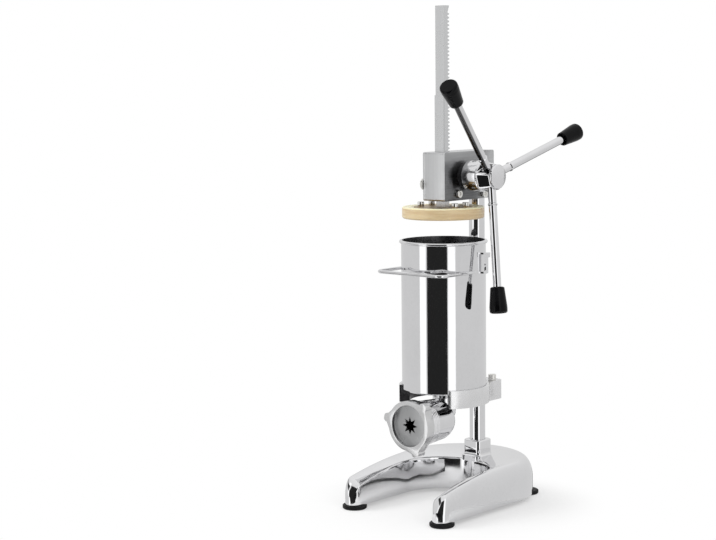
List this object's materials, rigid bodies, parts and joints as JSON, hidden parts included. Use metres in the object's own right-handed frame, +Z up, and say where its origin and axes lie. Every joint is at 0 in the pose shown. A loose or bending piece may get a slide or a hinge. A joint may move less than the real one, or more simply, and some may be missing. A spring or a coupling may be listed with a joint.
{
  "type": "churro maker",
  "caption": "Table-top churro maker: crank and rack press a plunger into an upright steel barrel over a horseshoe base, with a star die at the front.",
  "frame": {"origin": "on the ground, under the barrel's axis", "axes": "+X towards the crank side, +Y from the nozzle back to the column, +Z up"},
  "size_m": [0.221, 0.3528, 0.749],
  "materials": {
    "polished_casting": "polished",
    "chromed_steel": "mirror",
    "polished_steel": "mirror",
    "black_rubber": "matt",
    "brushed_casting": "satin",
    "satin_steel": "satin",
    "screw_steel": "zinc plated",
    "grip_black": "gloss",
    "black_collar": "satin",
    "bronze": "satin",
    "cream_plastic": "satin"
  },
  "bodies": {
    "frame": {"base_casting": "polished_casting", "foot_front_left": "black_rubber", "foot_front_right": "black_rubber", "foot_rear_left": "black_rubber", "foot_rear_right": "black_rubber", "foot_screws": "screw_steel", "column": "chromed_steel", "column_base_screw": "screw_steel", "barrel_bracket": "brushed_casting", "bracket_screws": "screw_steel", "gear_housing": "brushed_casting", "housing_cover": "brushed_casting", "cover_screws": "screw_steel", "housing_set_screws": "screw_steel", "rack_guide": "satin_steel", "guide_adjuster": "screw_steel", "shaft_bush_left": "bronze", "shaft_bush_right": "black_collar"},
    "crank": {"pinion": "satin_steel", "pinion_shaft": "satin_steel", "shaft_key": "screw_steel", "handle_hub": "chromed_steel", "hub_cap": "chromed_steel", "hub_set_screw": "black_collar", "arm_forward": "chromed_steel", "arm_rear": "chromed_steel", "arm_down": "chromed_steel", "grip_forward": "grip_black", "grip_rear": "grip_black", "grip_down": "grip_black"},
    "rack_plunger": {"rack": "satin_steel", "rack_nut": "screw_steel", "plunger": "cream_plastic", "plunger_plate": "satin_steel", "plunger_bolts": "screw_steel"},
    "barrel": {"barrel": "polished_steel", "barrel_handle": "polished_steel", "barrel_keeper": "polished_steel", "outlet_elbow": "polished_steel", "die_seal": "black_rubber", "die_plate": "satin_steel"},
    "nut": {"nozzle_nut": "polished_steel"}
  },
  "joints": [
    {"name": "crank_turn", "type": "hinge", "parent": "frame", "child": "crank", "pos_m": [0.05, 0.02662, 0.4975], "axis": [1, 0, 0], "range_deg": [-18, 599]},
    {"name": "rack_slide", "type": "slide", "parent": "frame", "child": "rack_plunger", "axis": [0, 0, 1], "range_m": [-0.229, 0.007]},
    {"name": "barrel_lift", "type": "slide", "parent": "frame", "child": "barrel", "axis": [0, 0, 1], "range_m": [0, 0.02]},
    {"name": "nozzle_nut_turn", "type": "hinge", "parent": "barrel", "child": "nut", "pos_m": [0, -0.08, 0.1315], "axis": [0, -1, 0], "range_deg": [0, 60]}
  ],
  "couplings": [
    {"joint": "rack_slide", "follows": "crank_turn", "m_per_rad": -0.021875}
  ]
}
